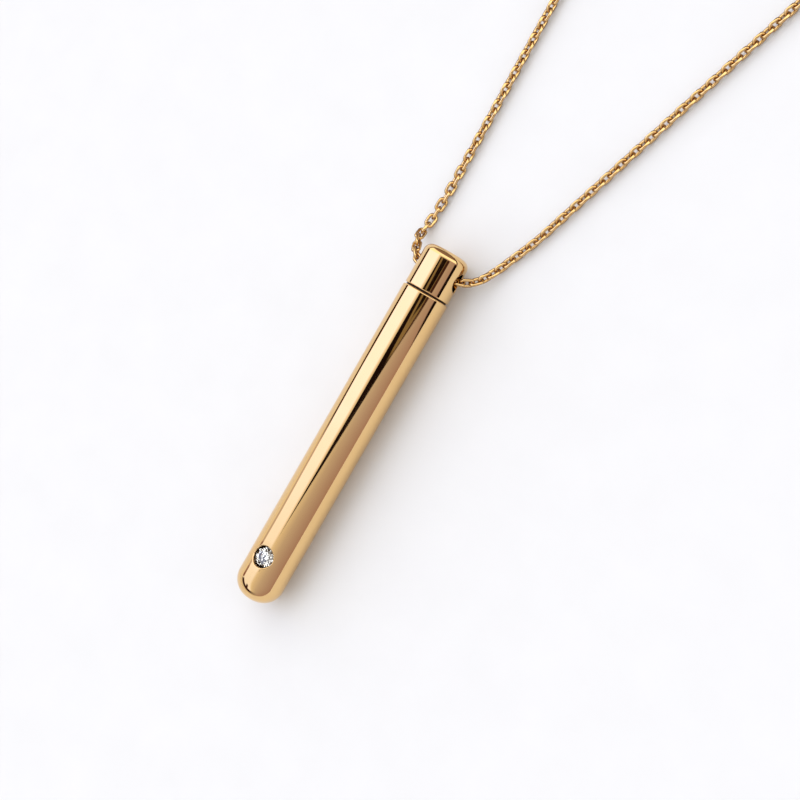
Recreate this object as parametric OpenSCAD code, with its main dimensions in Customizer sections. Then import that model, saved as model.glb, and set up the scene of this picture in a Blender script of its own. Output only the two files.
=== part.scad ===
// Keepsake urn pendant on a necklace: a hollow bar with a screw cap, on a fine cable chain.
// Millimetres, +Z up. Everything lies on the level z = 0. The pendant lies along Y with its cap
// towards +Y and its stone straight up, and the chain runs through the cross hole in the cap.

/* [Tube] */
// Outside diameter of the tube
tube_d = 5; // [4.6:0.1:7]
// Length of the tube, from its mouth to its closed tip
tube_len = 35.25; // [20:0.25:60]
// Radius that rounds the closed tip
tip_r = 2.15; // [0.5:0.05:2.2]
// Radius that rounds the edge of the mouth
mouth_r = 0.15; // [0.05:0.05:0.25]
// Diameter of the ash chamber
chamber_d = 2.9; // [1.5:0.1:3.2]
// Length left solid at the tip, behind the chamber
tip_solid = 6.6; // [6:0.1:9]

/* [Screw] */
// Diameter of the thread on the cap's stud
thread_d = 3.3; // [2.4:0.1:3.5]
// Depth of the thread
thread_depth = 0.2; // [0.1:0.05:0.3]
// Distance from one thread to the next
thread_pitch = 0.5; // [0.3:0.05:0.7]
// Number of threads on the stud
thread_turns = 7; // [4:1:10]
// Clearance between the stud and the bore in the tube's mouth
thread_clear = 0.1; // [0.05:0.05:0.2]
// Room left at the foot of the mouth's bore, past the end of the stud
thread_room = 0.4; // [0.2:0.1:1]

/* [Cap] */
// Outside diameter of the cap
cap_d = 4.85; // [4.4:0.05:6.9]
// Length of the cap
cap_len = 4.6; // [3.8:0.1:8]
// Radius that rounds the top edge of the cap
cap_top_r = 0.85; // [0.2:0.05:1.2]
// Radius that rounds the lower edge of the cap
cap_edge_r = 0.15; // [0.05:0.05:0.25]
// Diameter of the cross hole that the chain runs through
hole_d = 2; // [1.7:0.1:2.4]
// Distance from the top of the cap to the middle of the cross hole
hole_drop = 2.3; // [1.5:0.1:2.6]
// Angle that the cross hole is turned about the pendant, out of level
hole_turn = 10; // [-15:1:15]
// Bevel at both ends of the cross hole
hole_bevel = 0.15; // [0.05:0.05:0.3]

/* [Sealing ring] */
// Thickness of the sealing ring
seal_t = 0.11; // [0.08:0.01:0.6]
// How far the sealing ring lies inside the cap's side
seal_inset = 0.2; // [0.1:0.05:0.4]
// Clearance of the sealing ring at each of its faces and round the stud
seal_clear = 0.02; // [0.01:0.01:0.05]

/* [Stone] */
// Diameter of the round brilliant stone
stone_d = 2; // [1.4:0.1:2.2]
// Distance from the tip of the tube to the middle of the stone
stone_from_tip = 4.7; // [3.5:0.1:4.8]
// Depth of the stone's table under the top of the tube
stone_sink = 0.2; // [0.15:0.05:0.35]
// Clearance round the stone in its seat
stone_clear = 0.1; // [0.05:0.01:0.15]
// Width of the bright bevel round the seat
seat_bevel = 0.2; // [0.05:0.05:0.3]

/* [Chain] */
// Length of the necklace all round, with its clasp
necklace_len = 450; // [400:5:600]
// Width of the chain across its links
chain_w = 1.1; // [0.8:0.1:1.2]
// Least clearance between the chain and the wall of the cross hole
chain_clear = 0.3; // [0.15:0.05:0.35]

/* [Clasp] */
// Outside diameter of the clasp's ring
clasp_d = 6; // [5:0.5:8]
// Thickness of the clasp's ring
clasp_wire = 1.1; // [0.9:0.1:1.3]
// Outside diameter of the eye on the clasp
eye_d = 1.8; // [1.6:0.1:2.4]
// Outside diameter of the end ring that the clasp holds
ring_d = 3; // [2.9:0.1:4]
// Thickness of the wire of the eye and of the end ring
ring_wire = 0.35; // [0.25:0.05:0.4]
// Clearance between the pieces of the clasp, and between them and the chain
clasp_clear = 0.1; // [0.05:0.05:0.2]

/* [Hidden] */
$fn = 96;
// Overlap of cutters and joined shapes, so that no two faces coincide
eps = 0.05;
gold = [0.86, 0.66, 0.38];

// The pendant: its cross hole stays in place, and the rest is measured from it
hole_at = [-26.4, -81.2];
axis_z = tube_d / 2;
cap_top = hole_at.y + hole_drop;
cap_foot = cap_top - cap_len;
seam = seal_t + 2 * seal_clear;
mouth = cap_foot - seam;
tip = mouth - tube_len;
stud_len = thread_turns * thread_pitch;
bore_d = thread_d + 2 * thread_clear;
// Share of the pitch where a ridge's flat crest starts, and the depth of the drill's point in the
// chamber as a share of its diameter
crest_start = 0.4;
drill_point = 0.3;

// The stone: proportions of a round brilliant, as shares of its diameter
stone_at = [hole_at.x, tip + stone_from_tip];
table_share = 0.56;
crown_share = 0.15;
girdle_share = 0.03;
pavilion_share = 0.43;
// How far the star facets reach down to the girdle, and the lower facets down to the culet
star_reach = 0.45;
lower_reach = 0.77;
table_z = tube_d - stone_sink;
girdle_top = table_z - crown_share * stone_d;
girdle_foot = girdle_top - girdle_share * stone_d;
seat_d = stone_d + 2 * stone_clear;

// The chain near the cap, from the cap outwards. Each row: distance out from the cap's side,
// distance up from the cross hole, and height as a share of the hole's height over the lying chain
left_drop = [
  [0.8, 0.6, 1.05], [1.3, 1.4, 0.85], [1.8, 2, 0.6], [2.1, 2.6, 0.35],
  [2.2, 3.2, 0.15], [2.2, 4.2, 0], [2.1, 6, 0], [2.05, 8, 0]
];
right_drop = [
  [0.6, 0.5, 0.65], [1.4, 1.3, 0.4], [2, 2.6, 0.15], [2.6, 4, 0], [3.2, 5.3, 0], [4.25, 7.5, 0]
];
// Directions of the two straight strands, in degrees from +Y towards +X
left_lean = -1;
right_lean = 19.5;
// Rings of the swept tube along each strand, and along each half of the round far end
strand_rings = 13;
arc_rings = 17;
sides = 8;

function unit(v) = v / norm(v);
function heading(a) = [sin(a), cos(a)];
function sum(v, i = 0) = i < len(v) ? v[i] + sum(v, i + 1) : 0;
function length(p) = sum([for (i = [1:len(p) - 1]) norm(p[i] - p[i - 1])]);
function flat(p) = [p.x, p.y];
function reversed(v) = [for (i = [len(v) - 1:-1:0]) v[i]];

// The chain through the cap: along the cross hole, drawn towards the top of the cap
rest_z = chain_w / 2;
ride = (hole_d - chain_w) / 2 - chain_clear;
through = [
  for (t = [-1:0.5:1])
    [hole_at.x, hole_at.y + ride, axis_z] + t * cap_d / 2 * [cos(hole_turn), 0, -sin(hole_turn)]
];
function drop_points(rows, side) = [
  for (r = rows)
    [hole_at.x + side * (cap_d / 2 + r[0]), hole_at.y + r[1], rest_z + r[2] * (axis_z - rest_z)]
];
near_cap = concat(reversed(drop_points(left_drop, -1)), through, drop_points(right_drop, 1));

// The loop: two straight strands from one apex, and a round far end that is tangent to both.
// Its radius gives the necklace its length.
left_foot = flat(near_cap[0]);
right_foot = flat(near_cap[len(near_cap) - 1]);
half = (right_lean - left_lean) / 2;
middle = (right_lean + left_lean) / 2;
left_way = heading(left_lean);
right_way = heading(right_lean);
between = right_foot - left_foot;
left_back = (between.x * right_way.y - between.y * right_way.x) / sin(right_lean - left_lean);
apex = left_foot - left_way * left_back;
right_back = norm(right_foot - apex);
loop_r = (necklace_len - length(near_cap) + norm(left_foot - apex) + right_back)
  / (2 / tan(half) + (180 + 2 * half) * PI / 180);
loop_at = apex + heading(middle) * loop_r / sin(half);
function on_loop(a) = loop_at + loop_r * heading(middle + a);
function lying(p) = [p.x, p.y, rest_z];

// The clasp: its middle is where the loop is furthest from the pendant. Along the loop, the eye is
// on the left of the ring and the end ring hangs on the right of it.
clasp_at = on_loop(0);
clasp_mid_r = (clasp_d - clasp_wire) / 2;
eye_sunk = 0.4;
eye_x = -(clasp_d / 2 + eye_d / 2 - eye_sunk);
end_ring_lean = 30;
end_ring_x = clasp_mid_r + 0.2;
held_z = (ring_wire + clasp_wire / 2 + clasp_clear);
clasp_lean = asin((held_z - clasp_wire / 2) / (2 * clasp_mid_r));
left_end = (eye_d / 2 - eye_x + clasp_clear) / loop_r * 180 / PI;
right_end = (end_ring_x + ring_d / 2 + clasp_clear) / loop_r * 180 / PI;
round_end = 90 + half;

// The whole route of the chain, from the clasp's eye to its end ring
function arc_points(a, b, n) = [for (i = [0:n - 1]) lying(on_loop(a + (b - a) * i / n))];
function strand_points(a, b, n) = [for (i = [0:n - 1]) lying(a + (b - a) * i / n)];
route = concat(
  arc_points(-left_end, -round_end, arc_rings),
  strand_points(on_loop(-round_end), left_foot, strand_rings),
  near_cap,
  reversed(strand_points(on_loop(round_end), right_foot, strand_rings)),
  reversed(arc_points(right_end, round_end, arc_rings))
);

// One ring of the swept tube: round the route's point i, square to the way that the route runs
function way(i) = unit(route[min(i + 1, len(route) - 1)] - route[max(i - 1, 0)]);
function ring(i) = let (w = way(i), side = unit(cross(w, [0, 0, 1])), up = cross(side, w))
  [for (k = [0:sides - 1]) route[i] + rest_z * (cos(k * 360 / sides) * side + sin(k * 360 / sides) * up)];

// Places children on the pendant's axis at y, with their +Z towards the tip and their +Y up
module on_axis(y) translate([hole_at.x, y, axis_z]) rotate([90, 0, 0]) children();

// A solid round bar from z = 0 to z = len, with its two end edges rounded
module round_bar(r, len, foot_r, head_r) {
  rotate_extrude() {
    translate([0, foot_r]) square([r, len - foot_r - head_r]);
    square([r - foot_r, foot_r + eps]);
    translate([0, len - head_r - eps]) square([r - head_r, head_r + eps]);
    intersection() {
      translate([r - foot_r, foot_r]) circle(foot_r);
      translate([r - foot_r, 0]) square([foot_r, foot_r + eps]);
    }
    intersection() {
      translate([r - head_r, len - head_r]) circle(head_r);
      translate([r - head_r, len - head_r - eps]) square([head_r, head_r + eps]);
    }
  }
}

// A ring of round wire, lying flat, with its outside diameter and its wire's thickness
module wire_ring(d, wire) rotate_extrude() translate([(d - wire) / 2, 0]) circle(d = wire, $fn = 32);

// Places children at the clasp, with their +X along the loop and away from the eye
module at_clasp() translate([clasp_at.x, clasp_at.y, 0]) rotate([0, 0, -middle]) children();

module tube() {
  chamber_len = tube_len - tip_solid;
  color(gold) difference() {
    on_axis(mouth) round_bar(tube_d / 2, tube_len, mouth_r, tip_r);
    on_axis(mouth) {
      translate([0, 0, -eps]) cylinder(h = stud_len + thread_room + eps, d = bore_d);
      cylinder(h = chamber_len, d = chamber_d);
      translate([0, 0, chamber_len - eps]) cylinder(h = chamber_d * drill_point, d1 = chamber_d, d2 = 0);
    }
    translate([stone_at.x, stone_at.y, girdle_foot]) cylinder(h = tube_d, d = seat_d);
    translate([stone_at.x, stone_at.y, girdle_foot - pavilion_share * seat_d])
      cylinder(h = pavilion_share * seat_d + eps / 2, d1 = 0, d2 = seat_d + eps / 2 / pavilion_share);
    translate([stone_at.x, stone_at.y, tube_d - 2 * seat_bevel])
      cylinder(h = 3 * seat_bevel, d1 = seat_d, d2 = seat_d + 3 * seat_bevel);
  }
}

module stone() {
  r = stone_d / 2;
  crown = crown_share * stone_d;
  pavilion = pavilion_share * stone_d;
  table_r = table_share * r;
  function corner(radius, turn, z) = [radius * cos(turn), radius * sin(turn), z];
  function facets_from(start, n, radius, turn, z) = [for (k = [0:n - 1]) corner(radius, start + k * turn, z)];
  // The corner where a star facet meets two kite facets, and its like on the underside, lie in the
  // planes of the kites
  star_r = (table_r + (r - table_r) * star_reach) / cos(22.5);
  lower_r = r * (1 - lower_reach) / cos(22.5);
  points = concat(
    facets_from(0, 8, table_r, 45, table_z),
    facets_from(22.5, 8, star_r, 45, table_z - crown * star_reach),
    facets_from(0, 16, r, 22.5, girdle_top),
    facets_from(0, 16, r, 22.5, girdle_foot),
    facets_from(22.5, 8, lower_r, 45, girdle_foot - pavilion * lower_reach),
    [[0, 0, girdle_foot - pavilion]]
  );
  // Where each set of corners starts in the list
  star = 8;
  top = 16;
  foot = 32;
  low = 48;
  culet = 56;
  faces = concat(
    [[7, 6, 5, 4, 3, 2, 1, 0]],
    [for (k = [0:7]) [k, (k + 1) % 8, star + k]],
    [for (k = [0:7]) [k, star + k, top + 2 * k, star + (k + 7) % 8]],
    [for (k = [0:7]) [star + k, top + 2 * k + 1, top + 2 * k]],
    [for (k = [0:7]) [star + k, top + (2 * k + 2) % 16, top + 2 * k + 1]],
    [for (j = [0:15]) [top + j, top + (j + 1) % 16, foot + (j + 1) % 16, foot + j]],
    [for (k = [0:7]) [low + k, foot + 2 * k, foot + 2 * k + 1]],
    [for (k = [0:7]) [low + k, foot + 2 * k + 1, foot + (2 * k + 2) % 16]],
    [for (k = [0:7]) [culet, low + (k + 7) % 8, foot + 2 * k, low + k]]
  );
  color([0.93, 0.95, 0.97]) translate([stone_at.x, stone_at.y, 0]) polyhedron(points, faces, convexity = 2);
}

module seal_ring() {
  color([0.16, 0.11, 0.08]) on_axis(cap_foot - seal_clear) difference() {
    cylinder(h = seal_t, d = cap_d - 2 * seal_inset);
    translate([0, 0, -eps]) cylinder(h = seal_t + 2 * eps, d = thread_d + 2 * seal_clear);
  }
}

module cap() {
  root_d = thread_d - 2 * thread_depth;
  color(gold) difference() {
    union() {
      on_axis(cap_top) round_bar(cap_d / 2, cap_len, cap_top_r, cap_edge_r);
      on_axis(cap_foot + eps) cylinder(h = seam + eps, d = root_d);
      // The stud's threads stand as plain ridges, one to each turn
      on_axis(mouth) rotate_extrude() {
        square([root_d / 2, stud_len]);
        for (i = [0:thread_turns - 1]) translate([0, i * thread_pitch]) polygon([
          [0, 0], [root_d / 2, 0], [thread_d / 2, thread_pitch * crest_start],
          [thread_d / 2, thread_pitch * (1 - crest_start)], [root_d / 2, thread_pitch], [0, thread_pitch]
        ]);
      }
    }
    translate([hole_at.x, hole_at.y, axis_z]) rotate([0, 90 + hole_turn, 0]) {
      cylinder(h = cap_d + 2 * eps, d = hole_d, center = true);
      for (m = [0, 1]) mirror([0, 0, m]) translate([0, 0, cap_d / 2 - 2 * hole_bevel])
        cylinder(h = 3 * hole_bevel, d1 = hole_d, d2 = hole_d + 3 * hole_bevel);
    }
  }
}

module chain() {
  count = len(route);
  points = [for (i = [0:count - 1]) each ring(i)];
  faces = concat(
    [[for (k = [0:sides - 1]) k]],
    [for (i = [0:count - 2], k = [0:sides - 1]) let (a = i * sides, b = (k + 1) % sides)
      [a + k, a + sides + k, a + sides + b, a + b]],
    [[for (k = [sides - 1:-1:0]) (count - 1) * sides + k]]
  );
  color(gold) polyhedron(points, faces, convexity = 10);
}

module clasp() {
  color(gold) at_clasp() {
    translate([0, 0, (clasp_wire / 2 + held_z) / 2]) rotate([0, -clasp_lean, 0]) wire_ring(clasp_d, clasp_wire);
    translate([eye_x, 0, eye_d / 2]) rotate([90, 0, 0]) wire_ring(eye_d, ring_wire);
  }
}

module end_ring() {
  color(gold) at_clasp() translate([end_ring_x, 0, ring_wire / 2]) rotate([90 - end_ring_lean, 0, 0])
    translate([0, (ring_d - ring_wire) / 2, 0]) wire_ring(ring_d, ring_wire);
}

tube();
stone();
seal_ring();
cap();
chain();
clasp();
end_ring();
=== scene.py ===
# A keepsake urn pendant on a fine cable chain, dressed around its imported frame.
import math

import bmesh
import bpy
import numpy as np
from mathutils import Matrix, Vector


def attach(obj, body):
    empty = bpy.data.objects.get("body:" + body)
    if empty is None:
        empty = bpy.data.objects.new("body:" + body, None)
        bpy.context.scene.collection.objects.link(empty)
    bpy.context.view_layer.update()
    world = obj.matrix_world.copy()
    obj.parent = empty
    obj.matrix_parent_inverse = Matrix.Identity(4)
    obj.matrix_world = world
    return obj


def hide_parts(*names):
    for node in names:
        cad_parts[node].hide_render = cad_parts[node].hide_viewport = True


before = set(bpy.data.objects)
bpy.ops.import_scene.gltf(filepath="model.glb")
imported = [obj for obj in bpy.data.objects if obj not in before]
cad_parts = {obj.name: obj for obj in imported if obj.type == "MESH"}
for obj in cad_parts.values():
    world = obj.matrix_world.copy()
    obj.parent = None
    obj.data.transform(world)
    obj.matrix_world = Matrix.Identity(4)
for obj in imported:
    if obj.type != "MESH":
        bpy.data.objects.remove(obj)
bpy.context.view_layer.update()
MM = 0.001


# The camera looks down on the pendant from beyond its right side, rolled so that the pendant
# runs from the upper right to the lower left.
CAMERA_AT = Vector((30.27, -87.24, 119.18)) * MM
CAMERA_AHEAD = Vector((-0.4152, -0.0524, -0.9082)).normalized()
CAMERA_UP = Vector((-0.4732, 0.8651, 0.1664))
camera = bpy.data.objects.new("camera", bpy.data.cameras.new("camera"))
bpy.context.collection.objects.link(camera)
bpy.context.scene.camera = camera
camera.data.sensor_width = 36
camera.data.lens = 58.5
camera.data.clip_start = 0.005
camera.data.clip_end = 50
camera_right = CAMERA_AHEAD.cross(CAMERA_UP).normalized()
camera_up = camera_right.cross(CAMERA_AHEAD)
aim = Matrix((camera_right, camera_up, -CAMERA_AHEAD)).transposed()
camera.matrix_world = Matrix.Translation(CAMERA_AT) @ aim.to_4x4()


# The tube: a hollow bar of steel, turned in one piece with its rounded tip, its mouth and its ash
# chamber, then drilled for the stone, polished to a mirror and plated with gold.
AXIS_X, AXIS_Z = -26.4, 2.5
MOUTH, TIP = -83.65, -118.9
TUBE_R, TIP_R, MOUTH_R = 2.5, 2.15, 0.16
BORE_R, BORE_BEVEL, CHAMBER_R = 1.75, 0.1, 1.45
CHAMBER_END, DRILL_POINT = MOUTH - 28.65, 0.87
PITCH, STUD_LEN, THREAD_ROOM = 0.5, 3.5, 0.4
GROOVE_DEPTH = 0.1
STONE_Y, SEAT_R, SEAT_LIP, GIRDLE_Z, SEAT_POINT = -114.2, 1.1, 0.13, 4.44, 0.946
DISH_DEPTH, DISH_REACH = 0.009, 1.7
HOLD = 0.06  # a straight row this near a rounded edge keeps the long sides flat
COLUMNS = 128
SEAT_ROWS, SEAT_COLUMNS, SEAT_HALF = 14, 16, 1.75
GOLD, DEEP_GOLD = (0.81, 0.555, 0.262, 1), (0.78, 0.505, 0.215, 1)
# The seat's cone under the stone: near-black gold, painted shade under the stone
SEAT_SHADE_GOLD = ((0.20, 0.125, 0.06, 1), (0.10, 0.06, 0.03, 1))


def rounded(y, r, radius, start, end, steps=8):
    """Rows of a rounded corner round the point y, r, between two angles in degrees."""
    angles = np.radians(np.linspace(start, end, steps + 1))
    return [(y + radius * math.sin(a), r + radius * math.cos(a), 0) for a in angles]


def straight(y0, y1, r, steps):
    """Rows of a straight side between two places."""
    return [(y, r, 0) for y in np.linspace(y0, y1, steps + 1)]


def threaded(y0, y1, r, depth, lead=0.35):
    """Rows of a screw thread between two places, fading over the lead at both ends."""
    count = round(abs(y1 - y0) / PITCH * 10)
    places = np.linspace(y0, y1, count + 1)
    return [(y, r, depth * min(1, abs(y - y0) / lead, abs(y - y1) / lead)) for y in places]


def ridge(y, angle):
    """Height of the screw's ridge, from 0 in its root to 1 on its crest."""
    phase = ((MOUTH - y) / PITCH + angle / math.tau) % 1
    return min(1, max(0, 1.25 - abs(phase - 0.5) * 3.1))


def profile(*parts):
    """One list of rows from several, without the rows that repeat."""
    rows = []
    for row in (r for part in parts for r in part):
        if not rows or max(abs(row[0] - rows[-1][0]), abs(row[1] - rows[-1][1])) > 1e-6:
            rows.append(row)
    return rows


def turned(rows, first_angle=0):
    """Turns rows of (y, radius, thread depth) round the pendant's axis into rings of vertices."""
    bm = bmesh.new()
    grid = []
    for y, r, depth in rows:
        ring = []
        for k in range(COLUMNS if r > 1e-6 else 1):
            angle = first_angle + math.tau * k / COLUMNS
            reach = r + depth * ridge(y, angle) if depth else r
            place = (AXIS_X + reach * math.sin(angle), y, AXIS_Z + reach * math.cos(angle))
            ring.append(bm.verts.new(Vector(place) * MM))
        grid.append(ring)
    return bm, grid


def skin(bm, grid, openings=()):
    """Joins a turned grid's rings with faces. An opening is (first row, last row, middle column,
    half its columns), and stays free."""
    for i, (a, b) in enumerate(zip(grid, grid[1:])):
        for k in range(COLUMNS):
            if any(
                i0 <= i < i1 and (k - middle + half) % COLUMNS < 2 * half
                for i0, i1, middle, half in openings
            ):
                continue
            n = (k + 1) % COLUMNS
            corners = [a[k % len(a)], a[n % len(a)], b[n % len(b)], b[k % len(b)]]
            bm.faces.new([v for m, v in enumerate(corners) if v not in corners[:m]])


def band(bm, one, other):
    """A band of faces between two closed loops of vertices, or from a loop to one vertex."""
    for k in range(len(one)):
        n = (k + 1) % len(one)
        ends = [other[n], other[k]] if len(other) > 1 else [other[0]]
        bm.faces.new([one[k], one[n], *ends])
    return other


def drilled(bm, grid, rows, opening, turn, y0, radius, r, lip, hollow=0, reach=10, mirrored=False):
    """Fits rings of faces between an opening in a bar's side and a hole drilled square to the axis.
    The hole's lip is rounded, and the side may be hollowed round it. Returns the loop of vertices at
    the foot of the lip, their angles round the hole, and a function that places a point by its
    distance round the side, along the axis and out from it."""
    i0, i1, column, half = opening
    border = [(i0, k) for k in range(-half, half)] + [(i, half) for i in range(i0, i1)]
    border += [(i1, -k) for k in range(-half, half)] + [(i, -half) for i in range(i1, i0, -1)]
    if mirrored:
        border = [(i, -k) for i, k in border]
    sides = [(radius * math.sin(math.tau * k / COLUMNS), rows[i][0] - y0) for i, k in border]
    angles = [math.atan2(along, side) for side, along in sides]
    starts = [math.hypot(side, along) for side, along in sides]
    s, c = math.sin(turn), math.cos(turn)

    def place(side, along, out):
        return Vector((AXIS_X + side * c + out * s, y0 + along, AXIS_Z - side * s + out * c)) * MM

    def ring(distances, sunk):
        verts = []
        for d, a in zip(distances, angles):
            share = min(1, max(0, (d - r) / (reach - r)))
            top = radius - hollow * (1 + math.cos(math.pi * share)) / 2
            side = d * math.cos(a)
            out = math.sqrt(top**2 - side**2) - sunk
            verts.append(bm.verts.new(place(side, d * math.sin(a), out)))
        return verts

    loop = [grid[i][(column + k) % COLUMNS] for i, k in border]
    for step in range(1, 11):
        share = 1 - (1 - step / 10) ** 1.4
        loop = band(bm, loop, ring([b + (r + lip - b) * share for b in starts], 0))
    for step in range(1, 7):
        a = math.radians(step * 15)
        distance = r + lip * (1 - math.sin(a))
        loop = band(bm, loop, ring([distance] * len(angles), lip * (1 - math.cos(a))))
    return loop, angles, place


def made_piece(name, bm, material, sharp=35):
    """A finished piece from a mesh: faces outwards, smooth apart from edges sharper than the angle."""
    bmesh.ops.recalc_face_normals(bm, faces=bm.faces)
    mesh = bpy.data.meshes.new(name)
    bm.to_mesh(mesh)
    bm.free()
    mesh.polygons.foreach_set("use_smooth", [True] * len(mesh.polygons))
    mesh.set_sharp_from_angle(angle=math.radians(sharp))
    mesh.materials.append(material)
    piece = bpy.data.objects.new(name, mesh)
    bpy.context.collection.objects.link(piece)
    return piece


def polish_group():
    """The fine unevenness of polished metal: faint streaks, a soft waviness and a slow change of
    tone, for the roughness, the normal and the colour."""
    group = bpy.data.node_groups.new("polish", "ShaderNodeTree")
    sockets = (
        ("Grain", "INPUT", "NodeSocketFloat"), ("Dullest", "INPUT", "NodeSocketFloat"),
        ("Brightest", "INPUT", "NodeSocketFloat"), ("Waviness", "INPUT", "NodeSocketFloat"),
        ("Roughness", "OUTPUT", "NodeSocketFloat"), ("Normal", "OUTPUT", "NodeSocketVector"),
        ("Tone", "OUTPUT", "NodeSocketFloat"),
    )
    for title, side, kind in sockets:
        group.interface.new_socket(name=title, in_out=side, socket_type=kind)
    nodes, links = group.nodes, group.links
    come, go = nodes.new("NodeGroupInput"), nodes.new("NodeGroupOutput")
    coords = nodes.new("ShaderNodeTexCoord")
    streaks = nodes.new("ShaderNodeMapping")
    streaks.inputs["Scale"].default_value = (1000, 90, 1000)
    links.new(coords.outputs["Object"], streaks.inputs["Vector"])
    fine = nodes.new("ShaderNodeTexNoise")
    fine.inputs["Detail"].default_value = 4
    links.new(streaks.outputs["Vector"], fine.inputs["Vector"])
    links.new(come.outputs["Grain"], fine.inputs["Scale"])
    shine = nodes.new("ShaderNodeMapRange")
    shine.inputs["From Min"].default_value = 0.35
    shine.inputs["From Max"].default_value = 0.7
    links.new(fine.outputs["Fac"], shine.inputs["Value"])
    links.new(come.outputs["Brightest"], shine.inputs["To Min"])
    links.new(come.outputs["Dullest"], shine.inputs["To Max"])
    links.new(shine.outputs["Result"], go.inputs["Roughness"])
    slow = nodes.new("ShaderNodeTexNoise")
    slow.inputs["Scale"].default_value = 260
    slow.inputs["Detail"].default_value = 2
    links.new(coords.outputs["Object"], slow.inputs["Vector"])
    links.new(slow.outputs["Fac"], go.inputs["Tone"])
    lift = nodes.new("ShaderNodeBump")
    lift.inputs["Distance"].default_value = 0.00002
    links.new(come.outputs["Waviness"], lift.inputs["Strength"])
    links.new(slow.outputs["Fac"], lift.inputs["Height"])
    links.new(lift.outputs["Normal"], go.inputs["Normal"])
    return group


polish = polish_group()


def plated(name, grain, brightest, dullest, waviness, tones=(GOLD, DEEP_GOLD), edge=None):
    """Gold plating over polished metal, in two tones that run into each other. On fine wire an edge
    colour darkens the metal towards the wire's outline: painted shade for the shadows between links."""
    material = bpy.data.materials.new(name)
    material.use_nodes = True
    nodes, links = material.node_tree.nodes, material.node_tree.links
    shader = nodes["Principled BSDF"]
    shader.inputs["Metallic"].default_value = 1
    surface = nodes.new("ShaderNodeGroup")
    surface.node_tree = polish
    surface.inputs["Grain"].default_value = grain
    surface.inputs["Brightest"].default_value = brightest
    surface.inputs["Dullest"].default_value = dullest
    surface.inputs["Waviness"].default_value = waviness
    tone = nodes.new("ShaderNodeMix")
    tone.data_type = "RGBA"
    tone.inputs["A"].default_value, tone.inputs["B"].default_value = tones
    links.new(surface.outputs["Tone"], tone.inputs["Factor"])
    colour = tone.outputs["Result"]
    # Painted shade: the edge colour darkens the wire where its surface turns away from straight on
    if edge:
        side = nodes.new("ShaderNodeMapRange")
        side.interpolation_type = "SMOOTHSTEP"
        side.inputs["From Min"].default_value = 0.15
        side.inputs["From Max"].default_value = 0.6
        links.new(nodes.new("ShaderNodeLayerWeight").outputs["Facing"], side.inputs["Value"])
        edge_shade = nodes.new("ShaderNodeMix")
        edge_shade.data_type = "RGBA"
        edge_shade.inputs["B"].default_value = edge
        links.new(side.outputs["Result"], edge_shade.inputs["Factor"])
        links.new(colour, edge_shade.inputs["A"])
        colour = edge_shade.outputs["Result"]
    links.new(colour, shader.inputs["Base Color"])
    links.new(surface.outputs["Roughness"], shader.inputs["Roughness"])
    links.new(surface.outputs["Normal"], shader.inputs["Normal"])
    return material


bar_gold = plated("bar_gold", grain=3, brightest=0.03, dullest=0.07, waviness=0.05)
tube_rows = profile(
    [(TIP, 0, 0)],
    rounded(TIP + TIP_R, TUBE_R - TIP_R, TIP_R, -90, 0, 24),
    straight(TIP + TIP_R, STONE_Y - SEAT_HALF, TUBE_R, 2),
    straight(STONE_Y - SEAT_HALF, STONE_Y + SEAT_HALF, TUBE_R, SEAT_ROWS),
    straight(STONE_Y + SEAT_HALF, MOUTH - MOUTH_R - HOLD, TUBE_R, 16),
    rounded(MOUTH - MOUTH_R, TUBE_R - MOUTH_R, MOUTH_R, 0, 90, 6),
    [(MOUTH, BORE_R + BORE_BEVEL, 0)],
    threaded(MOUTH - BORE_BEVEL, MOUTH - STUD_LEN - THREAD_ROOM, BORE_R, GROOVE_DEPTH),
    [(MOUTH - STUD_LEN - THREAD_ROOM, CHAMBER_R, 0), (CHAMBER_END, CHAMBER_R, 0)],
    [(CHAMBER_END - DRILL_POINT, 0, 0)],
)
seat_row = next(i for i, row in enumerate(tube_rows) if abs(row[0] - STONE_Y + SEAT_HALF) < 1e-6)
seat_opening = (seat_row, seat_row + SEAT_ROWS, 0, SEAT_COLUMNS)
bm, grid = turned(tube_rows)
skin(bm, grid, [seat_opening])
loop, angles, place = drilled(
    bm, grid, tube_rows, seat_opening, 0, STONE_Y, TUBE_R, SEAT_R, SEAT_LIP, DISH_DEPTH, DISH_REACH
)
seat_foot = GIRDLE_Z - AXIS_Z
lip_faces = len(bm.faces)
for share in (1, 0.66, 0.33):
    out = seat_foot - SEAT_POINT * (1 - share)
    cone = [(share * SEAT_R * math.cos(a), share * SEAT_R * math.sin(a)) for a in angles]
    loop = band(bm, loop, [bm.verts.new(place(side, along, out)) for side, along in cone])
band(bm, loop, [bm.verts.new(place(0, 0, seat_foot - SEAT_POINT))])
# The seat's cone under the stone takes the second material: rougher, as the drilling is not polished, and
# near-black as painted shade
bm.faces.ensure_lookup_table()
for face in bm.faces[lip_faces:]:
    face.material_index = 1
tube = made_piece("urn_tube", bm, bar_gold)
tube.data.materials.append(
    plated("seat_gold_painted_shade", grain=6, brightest=0.25, dullest=0.4, waviness=0, tones=SEAT_SHADE_GOLD)
)
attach(tube, "urn")
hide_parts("tube")


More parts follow.
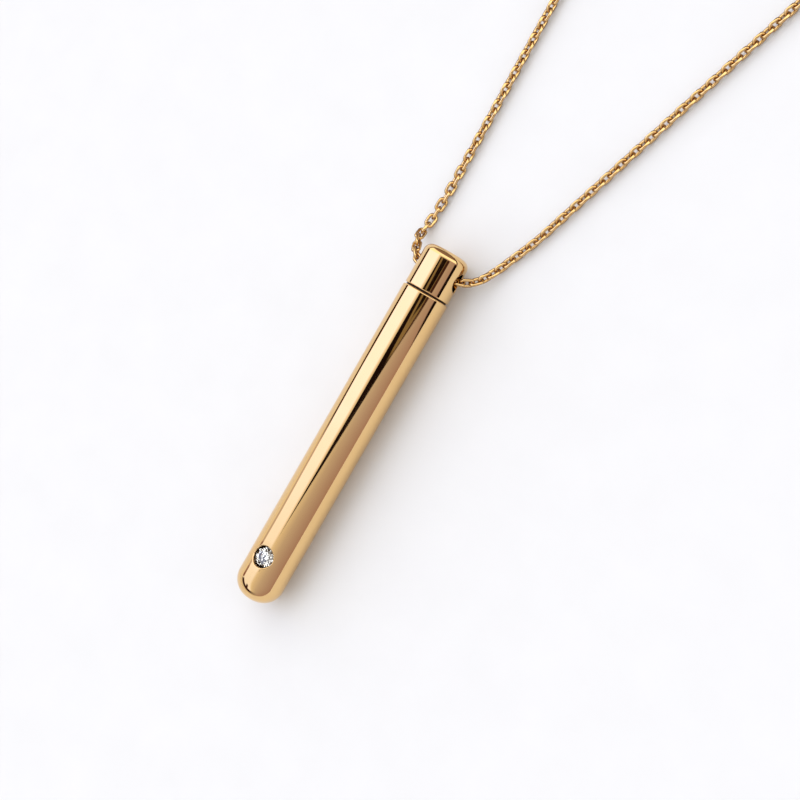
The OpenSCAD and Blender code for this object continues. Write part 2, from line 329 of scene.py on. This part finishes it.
# The stone: a round brilliant of clear cubic zirconia, which the lip of its seat holds flush with
# the tube. Its facets are flat, so its solid stays as it is cut.
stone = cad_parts["stone"]
clear = bpy.data.materials.new("clear_stone")
clear.use_nodes = True
nodes, links = clear.node_tree.nodes, clear.node_tree.links
shader = nodes["Principled BSDF"]
shader.inputs["Transmission Weight"].default_value = 1
shader.inputs["IOR"].default_value = 2.16
coords = nodes.new("ShaderNodeTexCoord")
haze = nodes.new("ShaderNodeTexNoise")
haze.inputs["Scale"].default_value = 1500
links.new(coords.outputs["Object"], haze.inputs["Vector"])
tint = nodes.new("ShaderNodeMapRange")
tint.inputs["To Min"].default_value = 0
tint.inputs["To Max"].default_value = 0.02
links.new(haze.outputs["Fac"], tint.inputs["Value"])
links.new(tint.outputs["Result"], shader.inputs["Roughness"])
shader.inputs["Base Color"].default_value = (1, 1, 1, 1)
stone.data.materials.clear()
stone.data.materials.append(clear)


# The sealing ring: a washer of dark rubber on the cap's stud, which shows only as a dark seam. Its
# near-black also paints the shadow in the seam's gap.
def mottled(name, scale, detail, dark, pale, roughness, shine):
    """A dull material whose colour varies finely between two."""
    material = bpy.data.materials.new(name)
    material.use_nodes = True
    nodes, links = material.node_tree.nodes, material.node_tree.links
    shader = nodes["Principled BSDF"]
    shader.inputs["Roughness"].default_value = roughness
    shader.inputs["Specular IOR Level"].default_value = shine
    coords = nodes.new("ShaderNodeTexCoord")
    specks = nodes.new("ShaderNodeTexNoise")
    specks.inputs["Scale"].default_value = scale
    specks.inputs["Detail"].default_value = detail
    links.new(coords.outputs["Object"], specks.inputs["Vector"])
    shade = nodes.new("ShaderNodeMix")
    shade.data_type = "RGBA"
    shade.inputs["A"].default_value, shade.inputs["B"].default_value = dark, pale
    links.new(specks.outputs["Fac"], shade.inputs["Factor"])
    links.new(shade.outputs["Result"], shader.inputs["Base Color"])
    return material


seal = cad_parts["seal_ring"]
# Near-black rubber, which also stands for the shadow in the seam between cap and tube: painted shade
seam_shade_rubber = mottled(
    "seam_shade_dark_rubber", scale=4000, detail=2, dark=(0.006, 0.004, 0.003, 1), pale=(0.012, 0.008, 0.006, 1),
    roughness=0.6, shine=0.25,
)
seal.data.materials.clear()
seal.data.materials.append(seam_shade_rubber)


# The screw cap: turned from the same bar as the tube, cross-drilled for the chain, with a threaded
# stud that screws into the tube's mouth.
CAP_TOP, CAP_FOOT, CAP_R, CAP_TOP_R, CAP_EDGE_R = -78.9, -83.5, 2.425, 0.85, 0.1
HOLE_Y, HOLE_R, HOLE_LIP, HOLE_TURN = -81.2, 1, 0.13, math.radians(100)
HOLE_ROWS, HOLE_COLUMNS, HOLE_HALF, HOLE_REACH = 14, 13, 1.35, 1.9
ROOT_R, THREAD_DEPTH, STUD_BEVEL = 1.45, 0.2, 0.1
STUD_END = MOUTH - STUD_LEN
cap_rows = profile(
    [(CAP_TOP, 0, 0)],
    rounded(CAP_TOP - CAP_TOP_R, CAP_R - CAP_TOP_R, CAP_TOP_R, 90, 0, 16),
    straight(HOLE_Y + HOLE_HALF, HOLE_Y - HOLE_HALF, CAP_R, HOLE_ROWS),
    straight(HOLE_Y - HOLE_HALF, CAP_FOOT + CAP_EDGE_R + HOLD, CAP_R, 4),
    rounded(CAP_FOOT + CAP_EDGE_R, CAP_R - CAP_EDGE_R, CAP_EDGE_R, 0, -90, 6),
    [(CAP_FOOT, ROOT_R, 0)],
    threaded(MOUTH, STUD_END + STUD_BEVEL, ROOT_R, THREAD_DEPTH),
    [(STUD_END, ROOT_R - STUD_BEVEL, 0), (STUD_END, 0, 0)],
)
hole_row = next(i for i, row in enumerate(cap_rows) if abs(row[0] - HOLE_Y - HOLE_HALF) < 1e-6)
rights = (hole_row, hole_row + HOLE_ROWS, 0, HOLE_COLUMNS)
lefts = (hole_row, hole_row + HOLE_ROWS, COLUMNS // 2, HOLE_COLUMNS)
bm, grid = turned(cap_rows, HOLE_TURN)
skin(bm, grid, [rights, lefts])
loop, angles, place = drilled(bm, grid, cap_rows, rights, HOLE_TURN, HOLE_Y, CAP_R, HOLE_R, HOLE_LIP)
far_loop, _, _ = drilled(
    bm, grid, cap_rows, lefts, HOLE_TURN + math.pi, HOLE_Y, CAP_R, HOLE_R, HOLE_LIP, mirrored=True
)
for out in np.linspace(HOLE_REACH, -HOLE_REACH, 9):
    wall = [place(HOLE_R * math.cos(a), HOLE_R * math.sin(a), out) for a in angles]
    loop = band(bm, loop, [bm.verts.new(p) for p in wall])
band(bm, loop, far_loop)
cap = made_piece("screw_cap", bm, bar_gold)
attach(cap, "necklace")
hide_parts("cap")


# The chain: a cable chain of soldered oval links in gold-plated round wire. Each link is turned a
# quarter from the one before it. It runs from the clasp's eye, through the cap, to the end ring.
NECKLACE_LEN, CHAIN_R = 450, 0.55
LINK_LEN, LINK_W, LINK_WIRE, LINK_PITCH = 1.66, 1.1, 0.34, 0.954
HOLE_AT = Vector((AXIS_X, HOLE_Y))
RIDE, HOLE_SLOPE = 0.15, math.radians(10)
LIFT = 0.015  # the chain's least distance from the table
EASE = 10  # length over which the chain comes down from the clasp
SETTLING = 300
LEFT_DROP = (
    (0.8, 0.6, 1.05), (1.3, 1.4, 0.85), (1.8, 2, 0.6), (2.1, 2.6, 0.35),
    (2.2, 3.2, 0.15), (2.2, 4.2, 0), (2.1, 6, 0), (2.05, 8, 0),
)
RIGHT_DROP = (
    (0.6, 0.5, 0.65), (1.4, 1.3, 0.4), (2, 2.6, 0.15), (2.6, 4, 0), (3.2, 5.3, 0), (4.25, 7.5, 0),
)
LEFT_LEAN, RIGHT_LEAN = -1, 19.5


def heading(degrees):
    return Vector((math.sin(math.radians(degrees)), math.cos(math.radians(degrees))))


def drop_points(rows, side):
    """Points of the chain as it comes down from the cross hole, on the cap's left (-1) or right."""
    return [
        Vector((HOLE_AT.x + side * (CAP_R + out), HOLE_AT.y + up, CHAIN_R + lift * (AXIS_Z - CHAIN_R)))
        for out, up, lift in rows
    ]


through = [
    Vector((HOLE_AT.x, HOLE_AT.y + RIDE, AXIS_Z))
    + t * CAP_R * Vector((math.cos(HOLE_SLOPE), 0, -math.sin(HOLE_SLOPE)))
    for t in (-1, -0.5, 0, 0.5, 1)
]
near_cap = drop_points(LEFT_DROP, -1)[::-1] + through + drop_points(RIGHT_DROP, 1)
near_len = sum((b - a).length for a, b in zip(near_cap, near_cap[1:]))
half_lean, mid_lean = (RIGHT_LEAN - LEFT_LEAN) / 2, (RIGHT_LEAN + LEFT_LEAN) / 2
left_foot, right_foot = near_cap[0].xy, near_cap[-1].xy
left_way, right_way = heading(LEFT_LEAN), heading(RIGHT_LEAN)
feet_apart = right_foot - left_foot
left_back = feet_apart.cross(right_way) / math.sin(math.radians(RIGHT_LEAN - LEFT_LEAN))
apex = left_foot - left_way * left_back
half_angle = math.radians(half_lean)
loop_r = (NECKLACE_LEN - near_len + (left_foot - apex).length + (right_foot - apex).length) / (
    2 / math.tan(half_angle) + math.pi + 2 * half_angle
)
loop_at = apex + heading(mid_lean) * loop_r / math.sin(half_angle)


def on_loop(degrees):
    return loop_at + loop_r * heading(mid_lean + degrees)


clasp_at = on_loop(0)
ROUND_END = 90 + half_lean
EYE_INSIDE, RING_INSIDE = 4.03, 3.78
EYE_Z, RING_Y, RING_Z, LAST_LEAN = 0.9, 0.66, 1.32, 30
EYE_REACH, RING_REACH = (inside + LINK_LEN / 2 - LINK_WIRE for inside in (EYE_INSIDE, RING_INSIDE))
ends = [math.degrees(reach / loop_r) for reach in (EYE_REACH, RING_REACH)]


def arc(start, end, step=0.4):
    """Points along the loop's round far end, between two angles from the clasp."""
    count = max(2, round(abs(end - start) * math.radians(1) * loop_r / step))
    return [on_loop(a) for a in np.linspace(start, end, count + 1)]


def strand(start, end, step=0.8):
    count = round((end - start).length / step)
    return [start.lerp(end, k / count) for k in range(count + 1)]


def smooth(points, parts=8):
    """A smooth curve through points, whose first and last only give its direction."""
    curve = []
    for a, b, c, d in zip(points, points[1:], points[2:], points[3:]):
        for k in range(parts):
            t = k / parts
            curve.append(
                b + t / 2 * (c - a + t * (2 * a - 5 * b + 4 * c - d + t * (3 * (b - c) + d - a)))
            )
    return curve


def lying(points):
    return [Vector((p.x, p.y, 0)) for p in points]


def run_along(route):
    """Length along the route up to each of its points."""
    return np.concatenate([[0], np.cumsum(np.linalg.norm(np.diff(route, axis=0), axis=1))])


from_clasp = lying(arc(-ends[0], -ROUND_END) + strand(on_loop(-ROUND_END), left_foot)[1:-1])
to_clasp = lying(strand(right_foot, on_loop(ROUND_END))[1:-1] + arc(ROUND_END, ends[1]))
raised = [Vector((p.x, p.y, max(0, p.z - CHAIN_R))) for p in near_cap]
over_cap = smooth([from_clasp[-1], *raised, to_clasp[0]])
route = np.array([tuple(p) for p in from_clasp + over_cap + to_clasp])
run = run_along(route)
cap_run = run[len(from_clasp) + len(over_cap) // 2]
# Turn of the links about the chain, in degrees from lying flat: at the clasp, along the two
# strands, and at the cap
TURNS = (
    (0, 0), (60, 0), (cap_run - 90, -66), (cap_run - 30, -68), (cap_run - 16, -60),
    (cap_run - 10, -40), (cap_run - 6, -24), (cap_run + 6, 67), (cap_run + 20, 60),
    (cap_run + 60, 54), (cap_run + 120, 30), (run[-1], LAST_LEAN),
)
roll = np.radians(np.interp(run, *zip(*TURNS)))
half_width = (LINK_W - LINK_WIRE) / 2
rest = LINK_WIRE / 2 + half_width * np.maximum(np.abs(np.sin(roll)), np.abs(np.cos(roll))) + LIFT
# Near the clasp the chain comes down from the eye and from the end ring, and it leaves the clasp
# in the clasp's own line
near = [np.clip(1 - side / EASE, 0, 1) for side in (run, run[-1] - run)]
down = [share**2 * (3 - 2 * share) for share in near]
route[:, 2] += rest * (1 - down[0] - down[1]) + down[0] * EYE_Z + down[1] * RING_Z
outward = np.array(heading(mid_lean))
aside = EYE_REACH**2 / 2 / loop_r * down[0] + (RING_Y + RING_REACH**2 / 2 / loop_r) * down[1]
for share, reach in zip(near, (EYE_REACH, RING_REACH)):
    aside += share**2 * (1 - share) * EASE * reach / loop_r
route[:, :2] += aside[:, None] * outward
# Each link's middle, direction and turn, evenly along the route
run = run_along(route)
LINKS = round(run[-1] / LINK_PITCH / 2) * 2 + 1
places = np.linspace(0, run[-1], LINKS)
middles = np.stack([np.interp(places, run, route[:, axis]) for axis in range(3)], axis=1)
aheads = np.gradient(middles, axis=0)
aheads /= np.linalg.norm(aheads, axis=1)[:, None]
turns = np.interp(places, run, roll)
# In the bends the links shift aside a little, until each one's wire lies in the middle of the next
level = np.cross((0, 0, 1), aheads)
level /= np.linalg.norm(level, axis=1)[:, None]
stance = (turns + np.pi / 2 * (np.arange(LINKS) % 2))[:, None]
across = np.cos(stance) * level + np.sin(stance) * np.cross(aheads, level)
for _ in range(SETTLING):
    end_reach = (LINK_LEN - LINK_WIRE) / 2 * aheads
    apart = middles[:-1] + end_reach[:-1] - middles[1:] + end_reach[1:]
    miss = sum((apart * a).sum(axis=1)[:, None] * a for a in (across[:-1], across[1:]))
    shift = (miss[:-1] - miss[1:]) / 4
    middles[1:-1] += shift - (shift * aheads[1:-1]).sum(axis=1)[:, None] * aheads[1:-1]


def geometry_input(group, title, kind, value):
    """A named input of a geometry tree, with its value."""
    socket = group.interface.new_socket(name=title, in_out="INPUT", socket_type=kind)
    return socket.identifier, value


def links_along(name, middles, aheads, turns, sizes, material):
    """Sets links along a route: one tree makes a link from its sizes, stands one at each middle and
    turns every second one by a quarter. The result is one plain mesh."""
    mesh = bpy.data.meshes.new(name)
    mesh.from_pydata([tuple(Vector(p) * MM) for p in middles], [], [])
    mesh.attributes.new("turn", "FLOAT", "POINT").data.foreach_set("value", turns)
    mesh.attributes.new("ahead", "FLOAT_VECTOR", "POINT").data.foreach_set("vector", aheads.ravel())
    piece = bpy.data.objects.new(name, mesh)
    bpy.context.collection.objects.link(piece)
    group = bpy.data.node_groups.new("links_along", "GeometryNodeTree")
    group.interface.new_socket(name="Middles", in_out="INPUT", socket_type="NodeSocketGeometry")
    group.interface.new_socket(name="Links", in_out="OUTPUT", socket_type="NodeSocketGeometry")
    values = [
        geometry_input(
            group, title, "NodeSocketInt" if isinstance(value, int) else "NodeSocketFloat", value
        )
        for title, value in sizes
    ]
    values.append(geometry_input(group, "Metal", "NodeSocketMaterial", material))
    nodes = group.nodes
    come, go = nodes.new("NodeGroupInput"), nodes.new("NodeGroupOutput")

    def node(kind, **inputs):
        """A node of the tree; a tuple as an input is another node and its output's name."""
        made = nodes.new(kind)
        for title, value in inputs.items():
            key = int(title[1:]) if title[0] == "_" else title.replace("_", " ")
            socket = made.inputs[key]
            if isinstance(value, tuple) and isinstance(value[0], bpy.types.Node):
                group.links.new(value[0].outputs[value[1]], socket)
            else:
                socket.default_value = value
        return made

    def maths(operation, a, b=0):
        made = node("ShaderNodeMath", _0=a, _1=b)
        made.operation = operation
        return made, "Value"

    # One link: a circle of wire, drawn out along X into an oval
    bend = maths("MULTIPLY", maths("SUBTRACT", (come, "Link width"), (come, "Wire")), 0.5)
    oval = node("GeometryNodeCurvePrimitiveCircle", Resolution=(come, "Link sides"), Radius=bend)
    spot = node("ShaderNodeSeparateXYZ", Vector=(node("GeometryNodeInputPosition"), "Position"))
    draw = maths("MULTIPLY", maths("SUBTRACT", (come, "Link length"), (come, "Link width")), 0.5)
    shift = maths("MULTIPLY", maths("SIGN", maths("SNAP", (spot, "X"), 0.00001)), draw)
    drawn = node(
        "GeometryNodeSetPosition", Geometry=(oval, "Curve"),
        Offset=(node("ShaderNodeCombineXYZ", X=shift), "Vector"),
    )
    section = node(
        "GeometryNodeCurvePrimitiveCircle", Resolution=(come, "Wire sides"),
        Radius=maths("MULTIPLY", (come, "Wire"), 0.5),
    )
    link = node("GeometryNodeCurveToMesh", Curve=(drawn, "Geometry"), Profile_Curve=(section, "Curve"))
    # One at each middle, with its X along its direction and every second link on edge
    ahead = node("GeometryNodeInputNamedAttribute", Name="ahead")
    ahead.data_type = "FLOAT_VECTOR"
    along = node(
        "FunctionNodeAxesToRotation", Primary_Axis=(ahead, "Attribute"), Secondary_Axis=(0, 0, 1)
    )
    along.primary_axis, along.secondary_axis = "X", "Z"
    quarter = maths("MULTIPLY", maths("MODULO", (node("GeometryNodeInputIndex"), "Index"), 2), math.pi / 2)
    turn = node("GeometryNodeInputNamedAttribute", Name="turn")
    about = node(
        "FunctionNodeAxisAngleToRotation", Axis=(1, 0, 0), Angle=maths("ADD", quarter, (turn, "Attribute"))
    )
    rotation = node(
        "FunctionNodeRotateRotation", Rotation=(along, "Rotation"), Rotate_By=(about, "Rotation")
    )
    rotation.rotation_space = "LOCAL"
    stand = node(
        "GeometryNodeInstanceOnPoints", Points=(come, "Middles"), Instance=(link, "Mesh"),
        Rotation=(rotation, "Rotation"),
    )
    real = node("GeometryNodeRealizeInstances", Geometry=(stand, "Instances"))
    dressed = node("GeometryNodeSetMaterial", Geometry=(real, "Geometry"), Material=(come, "Metal"))
    group.links.new(dressed.outputs["Geometry"], go.inputs["Links"])
    modifier = piece.modifiers.new("links", "NODES")
    modifier.node_group = group
    for identifier, value in values:
        modifier[identifier] = value
    shown = piece.evaluated_get(bpy.context.evaluated_depsgraph_get())
    finished = bpy.data.meshes.new_from_object(shown)
    piece.modifiers.clear()
    bm = bmesh.new()
    bm.from_mesh(finished)
    bmesh.ops.recalc_face_normals(bm, faces=bm.faces)
    bm.to_mesh(finished)
    bm.free()
    finished.polygons.foreach_set("use_smooth", [True] * len(finished.polygons))
    piece.data = finished
    return piece


WORN_GOLD = ((0.95, 0.70, 0.34, 1), (0.86, 0.54, 0.18, 1))
# The wire's edge colour is painted shade for the shadows between the chain's links
WIRE_PAINTED_SHADE = (0.23, 0.08, 0.003, 1)
chain_gold = plated(
    "chain_gold", grain=6, brightest=0.03, dullest=0.08, waviness=0.1, tones=WORN_GOLD, edge=WIRE_PAINTED_SHADE
)
chain_sizes = (
    ("Link length", LINK_LEN * MM), ("Link width", LINK_W * MM), ("Wire", LINK_WIRE * MM),
    ("Link sides", 16), ("Wire sides", 6),
)
chain = links_along("cable_chain", middles, aheads, turns, chain_sizes, chain_gold)
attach(chain, "necklace")
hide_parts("chain")


# The clasp: a spring ring of gold-plated tube behind the neck. A thinner sprung bolt closes its gap,
# a knob draws the bolt back, and a soldered eye holds the chain's first link.
CLASP_R, CLASP_WIRE_R, CLASP_EDGE_R, BOLT_R = 2.45, 0.545, 0.49, 0.39
GAP_START, GAP_END, KNOB_AT = 272, 322, 255
EYE_R, EYE_WIRE_R, EYE_X = 0.725, 0.172, -3.5
CLASP_Z, CLASP_RISE = 0.775, 0.45
CLASP_LEAN = math.asin(CLASP_RISE / (2 * CLASP_R))
KNOB = ((0.3, 0.17), (0.64, 0.17), (0.66, 0.27), (0.86, 0.27), (0.93, 0.2), (0.93, 0))


def wire_loop(bm, spot, radius, rows, sides=24):
    """A closed loop of round wire, from rows of (degrees round the loop, wire's radius)."""
    rings = []
    for degrees, r in rows:
        turn = Matrix.Rotation(math.radians(degrees), 4, "Z")
        angles = [math.tau * k / sides for k in range(sides)]
        ring = [Vector((radius + r * math.cos(a), 0, r * math.sin(a))) for a in angles]
        rings.append([bm.verts.new(spot @ turn @ p * MM) for p in ring])
    for one, other in zip(rings, rings[1:] + rings[:1]):
        band(bm, one, other)


at_clasp = Matrix.Translation((*clasp_at, 0)) @ Matrix.Rotation(-math.radians(mid_lean), 4, "Z")
lying_ring = at_clasp @ Matrix.Translation((0, 0, CLASP_Z)) @ Matrix.Rotation(-CLASP_LEAN, 4, "Y")
upright_eye = at_clasp @ Matrix.Translation((EYE_X, 0, EYE_Z)) @ Matrix.Rotation(math.pi / 2, 4, "X")
bm = bmesh.new()
body = [(GAP_END - 360, CLASP_EDGE_R)]
body += [(a, CLASP_WIRE_R) for a in np.linspace(GAP_END - 359, GAP_START - 1, 72)]
bolt = [(a, BOLT_R) for a in np.linspace(GAP_START, GAP_END, 14)]
wire_loop(bm, lying_ring, CLASP_R, [*body, (GAP_START, CLASP_EDGE_R), *bolt])
wire_loop(bm, upright_eye, EYE_R, [(a, EYE_WIRE_R) for a in range(0, 360, 6)], 16)
knob_turn = lying_ring @ Matrix.Rotation(math.radians(KNOB_AT), 4, "Z")
knob_end = None
for out, r in KNOB:
    angles = [math.tau * k / 20 for k in range(20 if r else 1)]
    points = [Vector((CLASP_R + out, r * math.cos(a), r * math.sin(a))) for a in angles]
    verts = [bm.verts.new(knob_turn @ p * MM) for p in points]
    knob_end = band(bm, knob_end, verts) if knob_end else verts
    if out == KNOB[0][0]:
        bm.faces.new(verts)
clasp_gold = plated("clasp_gold", grain=3, brightest=0.05, dullest=0.12, waviness=0.05)
clasp = made_piece("spring_clasp", bm, clasp_gold)
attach(clasp, "necklace")
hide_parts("clasp")


# The end ring: a ring of round wire on the chain's last link, which hangs in the clasp.
end_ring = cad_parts["end_ring"]
end_ring.data.materials.clear()
end_ring.data.materials.append(clasp_gold)


# The studio: a plain pale table, and soft light from a wide white screen on the left. What stands
# round the table is seen only in the polished metal: dark stands overhead and a warmer room.
def studio_world():
    world = bpy.data.worlds.new("studio")
    bpy.context.scene.world = world
    world.use_nodes = True
    tree = world.node_tree
    nodes, links = tree.nodes, tree.links
    background = nodes["Background"]

    def put(socket, value):
        if isinstance(value, bpy.types.NodeSocket):
            links.new(value, socket)
        else:
            socket.default_value = value

    def maths(operation, a, b=0):
        made = nodes.new("ShaderNodeMath")
        made.operation = operation
        put(made.inputs[0], a)
        put(made.inputs[1], b)
        return made.outputs[0]

    def rise(value, start, end):
        """Climbs softly from 0 to 1 as the value goes from start to end."""
        made = nodes.new("ShaderNodeMapRange")
        made.interpolation_type = "SMOOTHSTEP"
        for title, number in (("Value", value), ("From Min", start), ("From Max", end)):
            put(made.inputs[title], number)
        return made.outputs["Result"]

    def fall(value, start, end):
        return maths("SUBTRACT", 1, rise(value, start, end))

    def between(value, start, end, soft):
        """1 between two edges and 0 outside them, with edges softened by soft each way."""
        first = rise(value, maths("SUBTRACT", start, soft), maths("ADD", start, soft))
        last = rise(value, maths("SUBTRACT", end, soft), maths("ADD", end, soft))
        return maths("MULTIPLY", first, maths("SUBTRACT", 1, last))

    def over(colour, cover, *shares):
        """Lays the colour cover over another, by the product of its shares."""
        share = shares[0]
        for more in shares[1:]:
            share = maths("MULTIPLY", share, more)
        made = nodes.new("ShaderNodeMix")
        made.data_type = "RGBA"
        put(made.inputs["Factor"], share)
        put(made.inputs["A"], colour)
        put(made.inputs["B"], cover if isinstance(cover, bpy.types.NodeSocket) else (*cover, 1))
        return made.outputs["Result"]

    def line(value, x0, y0, slope):
        """A straight line through x0, y0."""
        return maths("ADD", y0, maths("MULTIPLY", maths("SUBTRACT", value, x0), slope))

    coords = nodes.new("ShaderNodeTexCoord")
    split = nodes.new("ShaderNodeSeparateXYZ")
    links.new(coords.outputs["Generated"], split.inputs[0])
    x, y, z = split.outputs
    # Angle round the pendant's axis, in degrees from overhead towards the right, and height
    angle = maths("MULTIPLY", maths("ARCTAN2", x, z), 180 / math.pi)
    height = maths("MULTIPLY", maths("ARCSINE", z), 180 / math.pi)
    # The room on the right, which darkens towards its far wall
    room = nodes.new("ShaderNodeValToRGB")
    stops = (
        (-6, (0.98, 0.94, 0.9)), (2, (0.87, 0.83, 0.79)), (28, (0.65, 0.60, 0.63)),
        (60, (0.54, 0.45, 0.50)), (84, (0.48, 0.36, 0.40)),
    )
    elements = room.color_ramp.elements
    while len(elements) < len(stops):
        elements.new(0.5)
    for element, (degrees, colour) in zip(elements, stops):
        element.position = (degrees + 180) / 360
        element.color = (*colour, 1)
    links.new(maths("DIVIDE", maths("ADD", angle, 180), 360), room.inputs["Fac"])
    # The white screen on the left, brighter beyond the cap
    screen = over((1.21, 1.30, 1.65, 1), (1.6, 1.68, 2.4), rise(y, -0.26, -0.03))
    light = over(room.outputs["Color"], screen, fall(angle, -17, -4))
    # The table's far edge on the left: a pale strip, and a dark line that fades along it
    edge = maths("MINIMUM", line(y, 0, -86, -118), -66)
    strip = fall(angle, maths("SUBTRACT", edge, 5), maths("SUBTRACT", edge, 3))
    light = over(light, (0.99, 0.97, 0.98), strip)
    rim_foot = maths("MAXIMUM", maths("SUBTRACT", edge, 6), -95)
    rim_top = maths("MAXIMUM", maths("ADD", edge, 5), -76)
    rim = between(angle, rim_foot, rim_top, 1)
    light = over(light, (0.68, 0.62, 0.68), rim, rise(y, -0.3, -0.25), fall(x, -0.1, 0))
    light = over(light, (0.3, 0.14, 0.13), rim, between(y, -0.32, -0.215, 0.015), fall(x, -0.1, 0))
    light = over(light, (0.06, 0.035, 0.03), rim, rise(y, -0.115, -0.085), fall(x, -0.1, 0))
    # Dark stands overhead, which meet over the tube's middle and stop short of the cap's top
    standing = fall(y, 0.07, 0.12)
    black, brown, olive = (0.012, 0.006, 0.006), (0.06, 0.025, 0.02), (0.31, 0.24, 0.14)
    first = maths("MINIMUM", line(y, -0.08, -1, 45), -1)
    opening, closing = line(y, 0.02, 12, -178), line(y, -0.09, 15.5, 224)
    third = maths("MINIMUM", line(y, 0.02, 43, 296), 42)
    third_half = maths("MINIMUM", line(y, 0.02, 5, 80), 6)
    beyond = rise(y, -0.04, -0.028)
    light = over(light, olive, between(angle, first, third, 1), beyond, standing)
    light = over(light, black, between(angle, first, maths("MINIMUM", opening, closing), 1), standing)
    light = over(light, black, between(angle, first, closing, 1), fall(y, -0.035, -0.02))
    second = between(angle, line(y, 0.03, 18.5, -180), maths("MINIMUM", line(y, 0.008, 25, 700), 34), 1)
    light = over(light, black, second, rise(y, 0.0, 0.012), standing)
    strip = between(angle, maths("SUBTRACT", third, third_half), maths("ADD", third, third_half), 1.5)
    light = over(light, brown, strip, beyond, standing)
    # A dark gap at the foot of the room's walls, which fades over the tube's middle
    gap = maths("MAXIMUM", line(y, 0.02, 76, -300), 76)
    gap = rise(angle, maths("SUBTRACT", gap, 1.5), maths("ADD", gap, 1.5))
    light = over(light, black, gap, rise(y, -0.02, 0.0), standing)
    # Beyond the cap's top it is bright all round, over a dark foot
    light = over(light, (1.7, 1.62, 1.5), rise(y, 0.14, 0.3))
    light = over(light, (0.3, 0.22, 0.2), rise(y, 0.55, 0.7))
    light = over(light, brown, fall(height, 6, 9), rise(y, 0.12, 0.25))
    # Beyond the tip, the table's edge again, with one thin stand on it
    far = fall(y, -0.45, -0.3)
    above = maths("SUBTRACT", height, line(x, 0, 8, -12))
    light = over(light, (0.9, 0.88, 0.86), fall(above, -3, -1), far)
    light = over(light, brown, between(above, -2, 13, 2), far, fall(x, -0.2, 0.35))
    light = over(light, brown, between(x, -0.46, -0.32, 0.02), between(above, -2, 27, 3), far)
    # The table is lit by the screen, straight views see a plain pale wall, and the stone gathers
    # light and dark from all over the room
    soft = over((0.66, 0.66, 0.66, 1), (2.1, 2.1, 2.1), fall(angle, -30, 10))
    path = nodes.new("ShaderNodeLightPath")
    patches = nodes.new("ShaderNodeTexNoise")
    patches.inputs["Scale"].default_value = 2
    links.new(coords.outputs["Generated"], patches.inputs["Vector"])
    sparkle = over((0.02, 0.015, 0.012, 1), (2.2, 2.2, 2.1), rise(patches.outputs["Fac"], 0.49, 0.53))
    light = over(light, sparkle, path.outputs["Is Transmission Ray"])
    light = over(light, soft, path.outputs["Is Diffuse Ray"])
    light = over(light, (0.87, 0.87, 0.87), path.outputs["Is Camera Ray"])
    links.new(light, background.inputs["Color"])


studio_world()
floor_bm = bmesh.new()
bmesh.ops.create_grid(floor_bm, x_segments=1, y_segments=1, size=10)
floor_mesh = bpy.data.meshes.new("floor")
floor_bm.to_mesh(floor_mesh)
floor_bm.free()
floor = bpy.data.objects.new("floor", floor_mesh)
bpy.context.collection.objects.link(floor)
pale_table = mottled(
    "pale_table", scale=180, detail=4, dark=(0.79, 0.79, 0.79, 1), pale=(0.83, 0.83, 0.83, 1),
    roughness=0.9, shine=0.2,
)
floor_mesh.materials.append(pale_table)
bpy.context.scene.view_settings.view_transform = "Standard"
